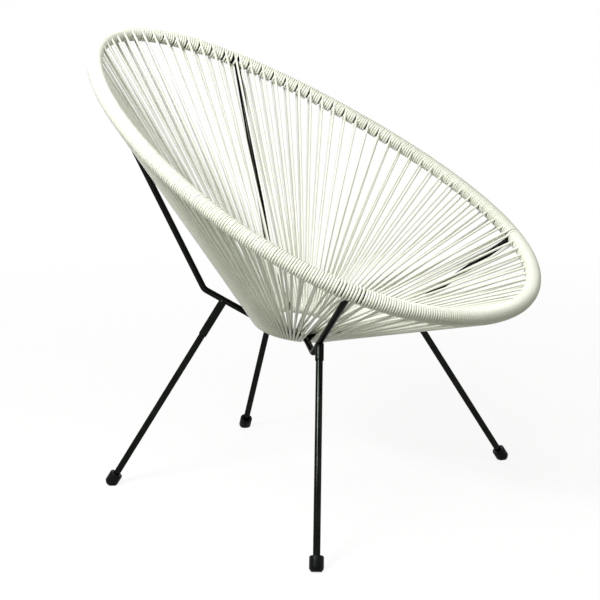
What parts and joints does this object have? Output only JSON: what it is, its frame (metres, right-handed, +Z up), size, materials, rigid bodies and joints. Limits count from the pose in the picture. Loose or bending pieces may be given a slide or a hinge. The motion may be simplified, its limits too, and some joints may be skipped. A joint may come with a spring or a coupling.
{
  "type": "string lounge chair",
  "caption": "Outdoor lounge chair: an oval hoop on splayed legs, strung with plastic cord in a basket that gathers at a small ring under the sitter.",
  "frame": {"origin": "on the floor, under the middle of the overall box: halfway between the left and right sides and between the front and back of the hoop", "axes": "+Z up, +Y towards the back of the chair, so the sitter faces -Y, +X towards the sitter's left"},
  "size_m": [0.7384, 0.8759, 0.8633],
  "materials": {
    "black_steel": "black gloss powder coat",
    "black_rubber": "moulded black rubber, half matt",
    "ivory_cord": "smooth ivory white plastic cord, satin to gloss"
  },
  "bodies": {
    "root": {"hoop_tube": "black_steel", "centre_ring": "black_steel", "strut_rear_left": "black_steel", "leg_socket_rear_left": "black_steel", "foot_cap_rear_left": "black_rubber", "leg_rear_left": "black_steel", "strut_rear_right": "black_steel", "leg_socket_rear_right": "black_steel", "foot_cap_rear_right": "black_rubber", "leg_rear_right": "black_steel", "strut_front_left": "black_steel", "leg_socket_front_left": "black_steel", "foot_cap_front_left": "black_rubber", "leg_front_left": "black_steel", "strut_front_right": "black_steel", "leg_socket_front_right": "black_steel", "foot_cap_front_right": "black_rubber", "leg_front_right": "black_steel", "hoop_winding_rear": "ivory_cord", "seat_cords_rear_1": "ivory_cord", "seat_cords_rear_2": "ivory_cord", "seat_cords_rear_3": "ivory_cord", "hoop_winding_left": "ivory_cord", "seat_cords_left_1": "ivory_cord", "seat_cords_left_2": "ivory_cord", "seat_cords_left_3": "ivory_cord", "seat_cords_left_4": "ivory_cord", "hoop_winding_front": "ivory_cord", "seat_cords_front_1": "ivory_cord", "seat_cords_front_2": "ivory_cord", "seat_cords_front_3": "ivory_cord", "seat_cords_front_4": "ivory_cord", "hoop_winding_right": "ivory_cord", "seat_cords_right_1": "ivory_cord", "seat_cords_right_2": "ivory_cord", "seat_cords_right_3": "ivory_cord", "seat_cords_right_4": "ivory_cord"}
  },
  "joints": []
}
